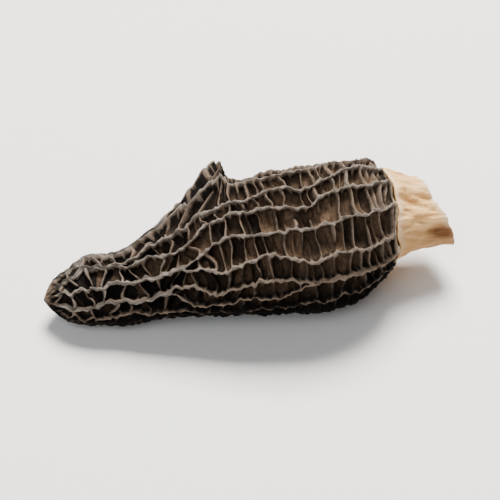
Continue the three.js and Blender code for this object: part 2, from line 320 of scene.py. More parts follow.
def splineThrough(points, steps=400):
    # a smooth curve through points of a half outline, as uniform Catmull-Rom spans: the
    # length along it, x, r and the direction's two parts, at many close places
    knots = np.array(points, float) * (mushroom["capLength"], mushroom["capRadius"])
    knots = np.vstack([knots[:1], knots, knots[-1:]])
    a, b, c, d = (knots[i:len(knots) - 3 + i, None] for i in range(4))
    t = np.linspace(0, 1, steps, endpoint=False)[None, :, None]
    curve = hermite(t, b, c, (c - a) / 2, (d - b) / 2)
    curve = np.vstack([curve.reshape(-1, 2), knots[-1]])
    length = np.append(0, np.cumsum(np.linalg.norm(np.diff(curve, axis=0), axis=1)))
    direction = np.gradient(curve, axis=0)
    direction /= np.linalg.norm(direction, axis=1)[:, None]
    return length, *curve.T, *direction.T


crestLine = splineThrough(net["outline"])
crestLength = crestLine[0][-1]


def alongLine(line, at):
    # x, r and the direction's two parts at distances along an outline
    return [np.interp(at, line[0], values) for values in line[1:]]


def pitShares(along):
    # the share of the way round that each pit row takes, rows by places: a swaying width,
    # times an opening step for every second row and a closing step for every seventh, plus
    # what a closed row keeps
    k = pitIndex[:, None]
    reach, *waves = net["rowSway"]
    sway = reach * np.sin(turn * (along * blend(*waves, chance(k, 2)) + chance(k, 3)))
    beforeTip, pastBase = -1.0, 2.0
    opens = np.where(k % 2 == 1, blend(*net["rowOpens"], chance(k, 4)), beforeTip)
    closes = np.where(k % 7 == 3, blend(*net["rowCloses"], chance(k, 5)), pastBase)
    opening = smoothStep(along, opens, opens + net["rowStep"])
    opening = opening * (1 - smoothStep(along, closes, closes + net["rowStep"]))
    shares = blend(*net["rowShares"], chance(k, 1)) * (1 + sway) * opening + net["closedRow"]
    return shares / shares.sum(0)


def ribsOf(k):
    # the cross ribs of pit row k, from the tip to the base: places in steps of a random
    # length, and random heights, which start from one height near the tip
    number = np.arange(net["mostRibs"])
    steps = blend(*net["ribSpacing"], chance(k, 200 + number))
    places = blend(*net["firstRib"], chance(k, 11)) + np.cumsum(steps) - steps
    tipHeight, *tipEnd = net["tipRibs"]
    heights = blend(*net["ribHeights"], chance(k, 100 + number))
    heights = change(places / crestLength, tipHeight, heights, *tipEnd)
    kept = places < crestLength - net["ribsEnd"]
    return places[kept], heights[kept]


def allRibsOf(k):
    # every rib of pit row k, in order: those of ribsOf, more close to the base, and a low one
    # near the middle of each wide gap. Each has a place, height, half width, slant, bow and
    # curl, and a number from -1 to 1, which makes it a spur if it is near either end.
    places, heights = ribs[k]
    number = np.arange(net["mostBaseRibs"])
    basePlaces = places[-1] + np.cumsum(blend(*net["baseRibSpacing"], chance(k, 450 + number)))
    baseHeights = blend(*net["baseRibHeights"], chance(k, 460 + number))
    kept = basePlaces < crestLength - net["baseRibsEnd"]
    places, heights = np.append(places, basePlaces[kept]), np.append(heights, baseHeights[kept])
    number = np.arange(len(places))
    halves = blend(*net["ribHalfWidths"], chance(k, 700 + number))
    gap = number[:-1]
    gaps = np.diff(places)
    lowPlaces = places[:-1] + gaps * blend(*net["lowRibPlaces"], chance(k, 420 + gap))
    tallest = blend(*net["lowRibHeights"], chance(k, 400 + gap))
    lowHeights = tallest * smoothStep(gaps, *net["lowRibGaps"]) * change(lowPlaces, *net["lowRibAlong"])
    lowHalves = blend(*net["lowRibHalfWidths"], chance(k, 740 + gap))

    pairs = (places, lowPlaces), (heights, lowHeights), (halves, lowHalves)
    order = np.argsort(np.append(*pairs[0]))
    at, heights, halves = (np.append(*pair)[order] for pair in pairs)
    halves = halves * change(at, *net["halfWidthAlong"])
    most, every = net["ribSlant"]
    slants = most * np.sin(turn * (at / every + chance(k, 500))) * change(at, *net["slantAlong"])
    number = np.arange(len(at))
    bows = net["ribBow"] * eitherWay(k, 600 + number)
    curls = net["ribCurl"] * eitherWay(k, 640 + number)
    return at, heights, halves, slants, bows, curls, eitherWay(k, 680 + number)


ribs = [ribsOf(k) for k in pitIndex]
allRibs = [allRibsOf(k) for k in pitIndex]


def pullOf(rows, at, halfLength):
    # how strongly the ribs of each pit row draw at distances from the tip, rows by places:
    # the sum over its ribs of the height times a bell of the distance
    return np.stack([(row[1][:, None] * bell((at - row[0][:, None]) / halfLength)).sum(0)
                     for row in rows])


def wavesOf(waves, k, at):
    # a sum of sines of given reaches and distances, each with a random start for ridge k
    return sum(reach * np.sin(turn * (at / every + chance(k, draw))) for reach, every, draw in waves)


def ridgeTables(at):
    # tables of ridges by distances from the tip: the angle of each ridge, how far its crest
    # leans over, and the width of the pit row after it. Angles come from summed shares plus a
    # twist, moved by the ridges' wandering and the pull of the ribs on both sides. Beside a
    # closed pit row the two ridges share their moves, weighted by how closed the row is.
    along = at / crestLength
    radius = np.maximum(alongLine(crestLine, at)[1], leastRadius)
    shares = pitShares(along)
    starts = turn * (np.cumsum(shares, 0) - shares)
    starts -= starts.mean(0)
    after = 1 - smoothStep(turn * shares * radius, *net["sharedWidths"])
    before = np.roll(after, 1, 0)

    def shared(own):
        total = own + after * np.roll(own, -1, 0) + before * np.roll(own, 1, 0)
        return smoothStep(radius, *net["wanderRadii"]) * total / (1 + after + before) / radius

    k = pitIndex[:, None]
    kink, kinkLength = net["ribKink"]
    pull = change(along, *net["ribPullAlong"]) * pullOf(ribs, at, net["ribPullLength"])
    pull = pull + kink * pullOf(allRibs, at, kinkLength)
    wander = wavesOf(net["ridgeWanders"], k, at) * change(along, *net["wanderAlong"])
    moves = wander + pull - np.roll(pull, 1, 0)
    angles = starts + net["ridgeTwist"] * along + shared(moves)
    leans = shared(wavesOf(net["crestLeans"], k, at))
    angles = np.vstack([angles, angles[:1] + turn])
    return angles, np.vstack([leans, leans[:1]]), np.diff(angles, axis=0) * radius


tableStep = 0.04
tablePlaces = np.minimum(np.arange(0, crestLength + 2 * tableStep, tableStep), crestLength)
ridgeAngles, ridgeLeans, rowWidths = ridgeTables(tablePlaces)


def readTable(table, line, at):
    # values of one line of a table at distances from the tip, straight between its entries
    place = at / tableStep
    entry = np.minimum(place.astype(int), table.shape[1] - 2)
    return blend(table[line, entry], table[line, entry + 1], place - entry)


def besideRibs(at):
    # for each pit row and ring: the distance from the nearest rib, before and after the rings
    # are drawn towards it; its height and half width; slant, bow and curl, straight between
    # ribs; its spur number; and the pit's number. A ring at share t of the way to the middle
    # of a gap goes to t (pinch + (1 - pinch) t squared).
    reach, pinch = net["ribReach"], net["rowPinch"]
    found = []
    for places, heights, halves, *bends, spurs in allRibs:
        middles = places[:-1] + np.diff(places) / 2
        ends = np.concatenate([[places[0] - reach], middles, [places[-1] + reach]])
        m = np.clip(np.searchsorted(ends, at) - 1, 0, len(places) - 1)
        away = at - places[m]
        t = np.abs(away) / np.where(away < 0, places[m] - ends[m], ends[m + 1] - places[m])
        drawn = away * np.where(t < 1, pinch + (1 - pinch) * t**2, 1)
        between = [np.interp(at, places, bend) for bend in bends]
        found.append([away, drawn, heights[m], halves[m], *between, spurs[m], m + (away > 0)])
    return np.stack(found, 1)


def reliefLeft(x, radius, angle):
    # how much of the relief is left: none on the pressed spot that the mushroom rests on, and
    # all of it past the spot's edge
    middle, halfLength, halfWidth = net["restSpot"]
    across = np.where(np.sin(angle) < 0, radius * np.cos(angle) / halfWidth, np.inf)
    return smoothStep(np.hypot((x - middle) / halfLength, across), *net["restEdge"])


def floorDepths(along, width, pit):
    # how deep the floors of the pits lie: less near the tip, from a random place on towards
    # the base and in narrow rows, and by a random share for each pit
    closing = smoothStep(along, blend(*net["shallowFrom"], chance(pitRow, 972)), 1)
    floor = net["pitDepth"] * change(along, *net["depthAlong"])
    floor = floor * (1 - blend(*net["shallowing"], chance(pitRow, 970)) * closing)
    floor = floor * smoothStep(width, *net["pitWidths"])
    return floor * blend(*net["floorShares"], chance(pitRow, pit))


def ribRelief(share, arch, fromRib, ribHeight, ribHalf, spur):
    # how high the ribs stand across the row, as a share of the depth, and their profile along
    # it. A rib rises to the ridges as 1 - (1 - height)(1 - (1 - arch) cubed), and a spur sinks
    # towards one of them. The profile is a blade, e to minus a power of the distance, plus a
    # bell for the foot.
    ribTop = 1 - (1 - ribHeight) * (1 - (1 - arch) ** 3)
    spurEnd = smoothStep(np.where(spur > 0, share, 1 - share), *net["spurSpan"])
    ribTop = ribTop * (1 - net["spurSink"] * smoothStep(np.abs(spur), *net["spurFrom"]) * spurEnd)
    blade, power, foot = net["ribProfile"]
    profile = blade * np.exp(-np.abs(fromRib / ribHalf) ** power) + (1 - blade) * bell(fromRib / foot)
    return ribTop, profile


def foldRelief(share, fromRib, width, pit):
    # small folds across the floors: a power of a raised cosine along the row, which is warped
    # by a sine across it, with a random spacing, start and height for each pit
    reach, waves = net["foldWarp"]
    every = blend(*net["foldSpacing"], chance(pitRow, 800 + pit))
    warp = reach * np.sin(turn * (waves * share + chance(pitRow, 900 + pit)))
    raised = 0.5 + 0.5 * np.cos(turn * (fromRib / every + warp + chance(pitRow, 850 + pit)))
    tallest = blend(*net["foldHeight"], chance(pitRow, 950 + pit))
    return tallest * raised ** net["foldSharpness"] * smoothStep(width, *net["foldWidths"])


def crestDip(x, radius, ridge, at):
    # how far the crests dip below their outline: waves that never rise above it, and that are
    # larger near the tip, except at the very tip
    deepest = sum(reach for reach, *_ in net["crestDips"])
    dip = deepest + wavesOf(net["crestDips"], ridge, at)
    return dip * smoothStep(radius, *net["dipRadii"]) * change(x, *net["dipAlong"])


# the net's wear, and painted shade on its low side and on the lobe
wearAndShade = {
    "crestFrom": 0.04,  # depths below a crest between which its pale edge ends
    "crestToAlong": (0.52, 0.3, 5, 15),
    "ribProfiles": (0.35, 0.9),  # shares of their profile between which ribs turn pale
    "ribRises": (0.15, 0.75),  # and shares of the depth to which they rise
    "ribPaleness": (0.35, 0.95),
    "ribPlaceShare": 0.4,  # how much of that is due to their place, and not to chance
    "bellyStart": (8, 16),  # they are less pale from here
    "bellyEnd": (38, 46),  # to here
    "tipAlong": (0.45, 1, 0.8, 2.6),  # of all the paleness
    "bellyAlong": (1, 0.82, 14, 28),
    "paintedShadeLowSide": (0.18, 1, -0.8, 0.75),  # painted shade on the low side: from below upwards, by the sine of the angle
    "brownPit": 0.7,
    "brownPatch": (0.2, 4),  # and how many pits share it
    "brownAlong": (-0.1, 0.42, 12, 34),
    "paintedShadeBrownLow": (-1.1, 0.3),  # painted shade: sines of the angle between which the brown sets in, near black below
    "lobe": (0.8, 1.2, 1.3),  # painted shade: what the lobe loses of it, and how far out in its half sizes
}


def palenessAndShade(x, angle, fall, rise, profile, pit):
    # how pale the net has worn: its crests, by how far they fall away, and its ribs, by their
    # profile, rise, place and chance, all of it duller at the tip and, a little, on the belly,
    # and duller on the low side as painted shade
    edge = 1 - smoothStep(fall, wearAndShade["crestFrom"], change(x, *wearAndShade["crestToAlong"]))
    ribEdge = smoothStep(profile, *wearAndShade["ribProfiles"]) * smoothStep(rise, *wearAndShade["ribRises"])
    atEnds = 1 - smoothStep(x, *wearAndShade["bellyStart"]) * (1 - smoothStep(x, *wearAndShade["bellyEnd"]))
    pale = blend(chance(pitRow, 320 + pit), atEnds, wearAndShade["ribPlaceShare"])
    edge = np.maximum(edge, ribEdge * blend(*wearAndShade["ribPaleness"], pale))
    edge = edge * change(x, *wearAndShade["tipAlong"]) * change(np.sin(angle), *wearAndShade["paintedShadeLowSide"])
    return edge * change(x, *wearAndShade["bellyAlong"])


def brownnessAndShade(x, angle, pit):
    # how brown the floors of the pits are: the square of a random number for each pit, one
    # that a few pits share, and more towards the base, but less on the low side and the lobe,
    # where painted shade turns the floors towards near black
    patch, pits = wearAndShade["brownPatch"]
    brown = wearAndShade["brownPit"] * chance(pitRow, 300 + pit) ** 2
    brown = brown + patch * chance(pitRow, 350 + pit // pits)
    brown = (brown + change(x, *wearAndShade["brownAlong"])) * smoothStep(np.sin(angle), *wearAndShade["paintedShadeBrownLow"])
    lost, longer, wider = wearAndShade["lobe"]
    middle, side, halfLength, halfWidth, *_ = mushroom["swellings"][0]
    return brown * (1 - lost * mound(x, angle, middle, side, longer * halfLength, wider * halfWidth))


def capOutside():
    # the net in straight coordinates, rings by columns: x, r, angle, paleness, depth and
    # brownness. Down a pit row, places slide towards the ribs and bend with them, the more the
    # further a column lies from its ridge. Crests swell and narrow in waves, and are narrower
    # where a swelling stretches the skin. The height over the pit's floor is the fourth root
    # of the summed fourth powers of three heights: the wall's, the rib's and the folds'.
    section = np.array(net["section"] + net["section"][1:-1][::-1]).T
    fromRidge, fromRidgeShare, depthFixed, depthShare, leanShare, slide = section
    onRight = np.arange(section.shape[1]) >= len(net["section"])
    ridge = pitRow + onRight
    ridgeDraw = ridge % net["pitRows"]  # past the last ridge comes the first again

    rings = np.linspace(net["firstRing"], crestLength, net["ringSteps"] + 1)
    away, drawn, ribHeight, ribHalf, slant, bow, curl, spur, pit = besideRibs(rings)[..., None]
    at = rings[None, :, None]
    width = readTable(rowWidths, pitRow, at)
    inset = fromRidge * np.minimum(1, width / net["roomyWidth"]) / width + fromRidgeShare
    share = np.where(onRight, 1 - inset, inset)
    arch = 4 * share * (1 - share)
    bend = slant * (share - 0.5) + bow * arch + curl * np.sin(turn * share)
    at = np.clip(at + slide * (drawn - away + bend), net["firstRing"], crestLength)
    fromRib = blend(away, drawn, slide)

    x, crestR, directionX, directionR = alongLine(crestLine, at)
    radius = np.maximum(crestR, leastRadius)
    width = readTable(rowWidths, pitRow, at)
    ridgeAngle = readTable(ridgeAngles, ridge, at)
    stretch = np.maximum(lumps(x, ridgeAngle)[0], 1)
    swell = (1 + wavesOf(net["crestSwells"], ridgeDraw, at)) / stretch
    inset = fromRidge * swell * np.minimum(1, width / net["roomyWidth"]) + fromRidgeShare * width
    angle = ridgeAngle + np.where(onRight, -inset, inset) / radius
    angle = angle + leanShare * readTable(ridgeLeans, ridge, at)

    floor = floorDepths(at / crestLength, width, pit)
    wallTop = floor - np.minimum(depthFixed, net["rounding"] * floor)
    wallTop = wallTop - depthShare * np.maximum(floor - depthFixed, 0)
    ribTop, profile = ribRelief(share, arch, fromRib, ribHeight, ribHalf, spur)
    foldTop = np.minimum(foldRelief(share, fromRib, width, pit), net["highestFold"] * floor)
    heights = [wallTop, floor * ribTop * profile, foldTop]
    height = np.minimum(sum(np.maximum(h, 0) ** 4 for h in heights) ** 0.25, floor)
    fall = floor - height
    depth = fall + crestDip(x, radius, ridgeDraw, at) * (1 - depthShare)
    depth = depth * reliefLeft(x, radius, angle)
    r = np.maximum(crestR - depth * directionX, net["tipRadius"])

    rise = height / np.maximum(floor, leastDepth)
    edge = palenessAndShade(x, angle, np.sqrt(stretch) * fall, rise, profile, pit)
    grids = (x + depth * directionR, r, angle, edge, fall / net["pitDepth"], brownnessAndShade(x, angle, pit))
    return [np.broadcast_to(grid, depth.shape).transpose(1, 0, 2).reshape(len(rings), -1)
            for grid in grids]


cap = {
    "hollow": [(0.925, 0.54), (0.87, 0.59), (0.8, 0.62), (0.69, 0.61), (0.5, 0.46), (0.28, 0.26),
               (0.155, 0.13), (0.13, 0)],  # half outline, as the crests' is given
    "mouth": [(51.3, 6.7), (50.7, 6.6), (49.3, 6.55), (47.3, 6.55)],  # x and r
    "rimSteps": 4,
    "hollowRings": 11,
    "inside": (0.0, 0.5, 0.5),  # paleness, depth and brownness of the rim, mouth and hollow
    "lip": (50.5, 51.1),  # x between which the base turns as pale as the stem
    "lipRadii": (6.9, 7.3),  # and radii
    "roughness": [(0.05, 0.5, 2), (0.06, 1.1, 3), (0.07, 2.8, 4)],  # height, size, random draw
    "sideways": (0.08, 0.9, 5),  # how far the skin strays round the cap, size, random draw
    "roughRadii": (0.5, 3),  # between which both set in
}


def makeCap():
    # the whole skin of the cap: the net, then a rim that turns in from the net's last ring,
    # the mouth round the stem and the hollow back to its far end, where the angles are spread
    # evenly between the ends of the ridges. Random fields roughen it, outwards and sideways.
    x, r, angle, *shades = capOutside()
    count, columns = x.shape
    pitEdges = np.arange(net["pitRows"] + 1) * columns // net["pitRows"]
    spread = np.interp(np.arange(columns) + 0.5, pitEdges, ridgeAngles[:, -1])
    rim = np.linspace(0, 1, cap["rimSteps"] + 1)[1:-1, None]
    hollow = splineThrough(cap["hollow"])
    hollowPlaces = np.linspace(0, hollow[0][-1], cap["hollowRings"] + 1)[:-1]
    hollowPoints = np.stack(alongLine(hollow, hollowPlaces)[:2], -1)
    insideX, insideR = np.vstack([cap["mouth"], hollowPoints]).T[..., None]
    x, r, angle = (np.vstack([outside, blend(outside[-1], inside[0], rim), inside]) for outside, inside
                   in zip((x, r, angle), np.broadcast_arrays(insideX, insideR, spread)))
    edge, depth, brown = (np.vstack([shade, np.full((len(x) - count, columns), inside)])
                          for shade, inside in zip(shades, cap["inside"]))
    lip = smoothStep(x, *cap["lip"]) * smoothStep(r, *cap["lipRadii"])

    points = np.stack([x, r * np.cos(angle), r * np.sin(angle)], -1)
    radius = np.maximum(r, leastRadius)
    calm = smoothStep(r, *cap["roughRadii"]) * reliefLeft(x, radius, angle)
    reach, size, draw = cap["sideways"]
    angle = angle + reach * roughField(points, size, draw) * calm / radius
    for height, size, draw in cap["roughness"]:
        r = r + height * roughField(points, size, draw) * calm
    # edge: the net's worn paleness, with painted shade on the low side; brown: the floors' brownness,
    # with painted shade on the low side and the lobe
    skin = buildSkin("capSkin", growMushroom(x, r, angle),
                     {"edge": edge, "depth": depth, "brown": brown, "lip": lip})
    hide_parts("cap")
    return skin


stem = {
    "columns": 256,
    "reach": 7.3,  # the cut end past the cap's base, at the middle of its slant
    "cutWaves": [(2.0, 1, 2.2), (0.1, 5, 0)],  # its slant and a small wave: reach, number, start
    "radius": 6.2,  # inside the cap's mouth
    "wall": 0.95,
    "lap": 3.72,  # how far the stem goes up into the cap
    "clearance": 0.07,
    "collarStep": 0.01,  # how far the collar's rings lie from its two sides
    "collarShares": (0.35, 0.7, 0.92),  # their shares of the way out
    "topShares": (0.67, 0.33),  # the top end's rings, as shares of the wall
    "rings": (9, 41, 7, 30),  # inside the mouth, outside, round the cut and up the bore
    "cutBulge": 0.35,  # how far the cut's edge swells out, as a share of the wall
    # r outside, as a share of the radius, at shares of the way out from the cap's base
    "outline": [(0, 1.15), (0.1, 1.08), (0.25, 1), (0.42, 0.93), (0.6, 0.87), (0.78, 0.84),
                (0.92, 0.83), (1, 0.83)],
    # folds round it: height as a share of r outside and in the bore, number, start
    "folds": [(0.06, 0.06, 2, -0.7), (0.045, 0.045, 3, 1.9), (0.04, 0.015, 7, 0.4)],
    "foldAlong": (0.4, 1, 0, 0.25),  # by shares of the way out
    # lengthwise wrinkles: height, size across, how many times as long, random draw
    "wrinkles": [(0.15, 1.5, 6, 11), (0.08, 0.7, 8, 12), (0.035, 0.35, 4, 13)],
    "wrinkleAlong": (0.5, 1, 0.02, 0.2),  # by shares of the way out
    "boreWrinkles": 0.5,  # their share in the bore
    "looseFrom": 0.5,  # how far inside the base folds and wrinkles start
    "chips": [(0.12, 2.2, 14), (0.05, 0.8, 15)],  # of the cut edge: height, size, draw
    "chipCircle": 6,  # radius of the circle on which they are drawn
    "shadeLowFrom": (-0.75, 0.4),  # painted shade on the low side: minus sines of the angle between which it turns browner
    "dent": (0.87, 3.27, 0.24, 0.34, 0.75),  # share out, angle, its two half widths, depth
}


def stemRings():
    # the stem's rings as x, r and bore: inside the mouth, over the collar's step, outside to
    # the cut, half a circle round its edge, back up the bore and over the wall's top end. The
    # bore is 0 outside and 1 inside.
    radius, wall = stem["radius"], stem["wall"]
    mouthRings, outRings, cutRings, boreRings = stem["rings"]
    base = mushroom["capLength"] + stem["clearance"]
    top, reach, step = base - stem["lap"], stem["reach"] - stem["clearance"], stem["collarStep"]
    out = np.linspace(0, 1, outRings)
    outer = radius * through(stem["outline"], out)
    halfTurn = np.linspace(0, math.pi, cutRings + 2)[1:-1]
    back = np.linspace(1, -stem["lap"] / reach, boreRings)
    backOuter = np.minimum(radius * through(stem["outline"], np.maximum(back, 0)), radius)
    collar = radius + (outer[0] - radius) * np.array(stem["collarShares"])
    cutX = base + reach + stem["cutBulge"] * wall * np.sin(halfTurn)
    cutR = outer[-1] - wall / 2 + wall / 2 * np.cos(halfTurn)
    stretches = [(np.linspace(top, base, mouthRings), radius, 0), (base + step, collar, 0),
                 (base + 2 * step + out * (reach - 2 * step), outer, 0),
                 (cutX, cutR, halfTurn / math.pi), (base + back * reach, backOuter - wall, 1),
                 (top, radius - wall * np.array(stem["topShares"]), 1)]
    rings = [np.stack(np.broadcast_arrays(*stretch)) for stretch in stretches]
    return np.concatenate(rings, axis=1)[..., None]


def makeStem():
    # the skin of the stem, a tube of rings: folds are cosines round it, lengthwise wrinkles are
    # a rough field drawn out along it, both grow from the collar outwards, and a mound is
    # taken off for the dent. At the cut, x moves by waves times the square of the way out, and
    # by chips times its sixth power.
    x, r, bore = stemRings()
    base = mushroom["capLength"] + stem["clearance"]
    angle = np.linspace(0, turn, stem["columns"], endpoint=False)[None]
    out = np.clip((x - base) / stem["reach"], 0, 1)
    atCollar = smoothStep(x, base - stem["looseFrom"], base)

    folds = sum(blend(outside, inBore, bore) * np.cos(number * angle + start)
                for outside, inBore, number, start in stem["folds"])
    r = r * (1 + folds * atCollar * change(out, *stem["foldAlong"]))
    *dentPlace, dentDepth = stem["dent"]
    dent = mound(out, angle, *dentPlace)
    r = r - dentDepth * dent
    loose = atCollar * change(out, *stem["wrinkleAlong"]) * blend(1, stem["boreWrinkles"], bore)
    for height, size, longer, draw in stem["wrinkles"]:
        places = np.stack([x / longer + 0 * r, r * np.cos(angle), r * np.sin(angle)], -1)
        r = r + height * loose * roughField(places, size, draw)

    cut = out**2 * wavesRound(stem["cutWaves"], angle)
    circle = stem["chipCircle"]
    edgePlaces = np.stack([0 * angle, circle * np.cos(angle), circle * np.sin(angle)], -1)
    for height, size, draw in stem["chips"]:
        cut = cut + out**6 * height * roughField(edgePlaces, size, draw)

    # painted shade: a share that grows towards the low side of the stem
    low = smoothStep(-np.sin(angle), *stem["shadeLowFrom"])
    x, angle, out, bore, dent, low = (np.broadcast_to(grid, r.shape)
                                      for grid in (x + cut, angle, out, bore, dent, low))
    skin = buildSkin("stemSkin", growMushroom(x, r, angle),
                     {"out": out, "bore": bore, "dent": dent, "low": low}, tube=True)
    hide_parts("stem")
    return skin


capSkin = makeCap()
stemSkin = makeStem()


def feed(tree, node, inputs):
    # gives a node its inputs by name or number: values, or the sockets that they come from
    for key, value in inputs.items():
        if isinstance(value, bpy.types.NodeSocket):
            tree.links.new(value, node.inputs[key])
        else:
            node.inputs[key].default_value = value


def addNode(tree, kind, inputs=None, **settings):
    # a shader node with its settings and inputs
    node = tree.nodes.new("ShaderNode" + kind)
    for key, value in settings.items():
        setattr(node, key, value)
    feed(tree, node, inputs or {})
    return node


def rgba(colour):
    # a colour with its alpha
    return (*colour, 1)


def addNoise(tree, size, detail=4, stretch=(1, 1, 1), roughness=0.55, distortion=0):
    # noise on the piece's own coordinates, whose lumps are about size millimetres across
    place = addNode(tree, "TexCoord").outputs["Object"]
    mapped = addNode(tree, "Mapping", {"Vector": place, "Scale": stretch}).outputs["Vector"]
    scale = 1 / (size * millimetre)
    return addNode(tree, "TexNoise", {"Vector": mapped, "Scale": scale, "Detail": detail,
                                      "Roughness": roughness, "Distortion": distortion}).outputs["Fac"]


def addRamp(tree, value, stops):
    # colours (or greys) at positions from 0 to 1, straight between them
    ramp = addNode(tree, "ValToRGB", {"Fac": value})
    elements = ramp.color_ramp.elements
    while len(elements) < len(stops):
        elements.new(0.5)
    for element, (position, colour) in zip(elements, stops):
        element.position = position
        element.color = rgba(colour if isinstance(colour, tuple) else (colour,) * 3)
    return ramp.outputs["Color"]


def addMix(tree, share, first, second):
    # two colours mixed by a share: inputs 6, 7 and 0 of the node, and its output 2
    first, second = (rgba(value) if isinstance(value, tuple) else value for value in (first, second))
    return addNode(tree, "Mix", {0: share, 6: first, 7: second}, data_type="RGBA").outputs[2]


def addMath(tree, operation, first, second):
    # one operation on two values
    return addNode(tree, "Math", {0: first, 1: second}, operation=operation).outputs[0]


def addSum(tree, first, second, shares):
    # two values, each times its share, added
    terms = [addMath(tree, "MULTIPLY", value, share) for value, share in zip((first, second), shares)]
    return addMath(tree, "ADD", *terms)


def readAttributes(tree, *names):
    # the skin's own values, by name
    return [addNode(tree, "Attribute", attribute_name=name).outputs["Fac"] for name in names]


def addNoises(tree, flesh, *names):
    # a flesh's noises, by name
    return [addNoise(tree, **flesh[name]) for name in names]


def newMaterial(name):
    # an empty node material with its Principled shader
    material = bpy.data.materials.new(name)
    material.use_nodes = True
    return material, material.node_tree, material.node_tree.nodes["Principled BSDF"]


def finishFlesh(tree, shader, flesh, colour, lift):
    # the shader's colour, its bumps and the numbers on its own sockets
    bump = addNode(tree, "Bump", {"Height": lift, **flesh["bump"]})
    feed(tree, shader, {"Base Color": colour, "Normal": bump.outputs["Normal"], **flesh["shader"]})


# the pits' own dark flesh, darkened to near black as painted shade in the pits
pitBlackAndShade = (0.005, 0.004, 0.0034)
capFlesh = {
    # noises: about how many millimetres across, and how detailed
    "blotches": {"size": 6, "detail": 3},
    "mottle": {"size": 0.8, "detail": 5},
    "patches": {"size": 2.6, "detail": 4},
    "grain": {"size": 0.22, "detail": 4, "roughness": 0.65},
    # ramps: positions, and the colours or shares there
    "floor": [(0.3, pitBlackAndShade), (0.5, (0.022, 0.014, 0.0095)), (0.9, (0.15, 0.095, 0.058))],
    "shadows": [(0.4, 0.0), (0.75, 0.7)],  # near black in the mottle
    "floorDepth": [(0.25, 0.0), (0.7, 1.0)],
    "ribWorn": [(0.2, 0.0), (0.5, 1.0)],
    "crestWorn": [(0.5, 0.0), (0.85, 1.0)],
    "crest": [(0.32, (0.075, 0.062, 0.052)), (0.66, (0.178, 0.152, 0.128))],
    "lipPatches": [(0.38, 0.1), (0.62, 0.9)],
    # the walls' dark flesh, near black as painted shade
    "wallBlackAndShade": (0.005, 0.004, 0.0032),
    "ribColour": (0.14, 0.102, 0.074),
    "lipColour": (0.52, 0.40, 0.27),
    # what two values count for in their sum
    "brownShares": (0.7, 0.5),  # the skin's own brown, and the blotches
    "patchShares": (0.7, 0.3),  # the patches, and the grain
    "liftShares": (0.6, 0.4),  # the mottle, and the grain
    "raggedness": 0.5,  # how far the mottle moves the edges of what is worn
    "shader": {"Roughness": 0.72, "Specular IOR Level": 0.06},
    "bump": {"Strength": 0.8, "Distance": 0.0003},
}


def makeCapFlesh():
    # the floors of the pits go from near black to tan by the skin's own brown plus blotches,
    # and the walls are near black: the pits' own dark flesh, darkened to near black as painted
    # shade. Where the net is worn, by the skin's paleness made ragged by the mottle, it turns
    # first into the ribs' brown and then into the crests' grey, which is dull or pale in
    # patches. The lip is mixed in last, in the same patches.
    material, tree, shader = newMaterial("driedCapFlesh")
    edge, depth, brown, lip = readAttributes(tree, "edge", "depth", "brown", "lip")
    noises = "blotches", "mottle", "patches", "grain"
    blotches, mottle, patches, grain = addNoises(tree, capFlesh, *noises)
    brown = addSum(tree, brown, blotches, capFlesh["brownShares"])
    floor = addRamp(tree, brown, capFlesh["floor"])
    floor = addMix(tree, addRamp(tree, mottle, capFlesh["shadows"]), floor, pitBlackAndShade)
    skin = addMix(tree, addRamp(tree, depth, capFlesh["floorDepth"]), capFlesh["wallBlackAndShade"], floor)
    patchy = addSum(tree, patches, grain, capFlesh["patchShares"])
    ragged = addMath(tree, "MULTIPLY", addMath(tree, "SUBTRACT", mottle, 0.5), capFlesh["raggedness"])
    worn = addMath(tree, "ADD", edge, ragged)
    crest = addRamp(tree, patchy, capFlesh["crest"])
    skin = addMix(tree, addRamp(tree, worn, capFlesh["ribWorn"]), skin, capFlesh["ribColour"])
    skin = addMix(tree, addRamp(tree, worn, capFlesh["crestWorn"]), skin, crest)
    lip = addMath(tree, "MULTIPLY", lip, addRamp(tree, patchy, capFlesh["lipPatches"]))
    skin = addMix(tree, lip, skin, capFlesh["lipColour"])
    finishFlesh(tree, shader, capFlesh, skin, addSum(tree, mottle, grain, capFlesh["liftShares"]))
    return material


tan = (0.42, 0.20, 0.065)
darkBrown = (0.16, 0.066, 0.022)
stemFlesh = {
    # noises: about how many millimetres across, how detailed, and drawn out along the stem
    "streaks": {"size": 1.1, "detail": 4, "stretch": (0.16, 1, 1), "distortion": 0.4},
    "blotches": {"size": 3.2, "detail": 3, "stretch": (0.5, 1, 1)},
    "grain": {"size": 0.25, "detail": 4, "stretch": (0.5, 1, 1)},
    # ramps: positions, and the colours or shares there
    "flesh": [(0.36, tan), (0.5, (0.68, 0.40, 0.155)), (0.64, (0.72, 0.47, 0.205))],
    # the paler collar and cut, and painted shade in tan in the crease under the cap, by the share of
    # the way out
    "rims": [(0.015, 0.0), (0.045, 0.8), (0.09, 0.5), (0.17, 0.0), (0.86, 0.0), (1.0, 0.8)],
    "creaseShade": [(0.0, 0.7), (0.025, 0.0)],
    "spot": [(0.15, 0.0), (0.5, 0.45), (0.9, 1.0)],
    "liningGrain": [(0.35, 0.0), (0.65, 1.0)],
    "inBore": [(0.35, 0.0), (0.9, 1.0)],
    "rimColour": (0.74, 0.57, 0.37),
    # the brown of the painted shade on the stem's low side
    "lowShadeColour": (0.34, 0.18, 0.066),
    "liningColour": (0.35, 0.145, 0.036),
    # how much of that painted shade
    "lowShadeShare": 0.8,
    "spotGrain": 0.6,  # added to the grain, which then breaks up the spot
    # what two values count for in their sum
    "fleshShares": (0.6, 0.4),  # the streaks, and the blotches
    "liftShares": (0.7, 0.3),  # the streaks, and the grain
    "shader": {"Roughness": 0.62, "Specular IOR Level": 0.18, "Subsurface Weight": 0.08,
               "Subsurface Scale": 0.001},
    "bump": {"Strength": 0.75, "Distance": 0.0004},
}


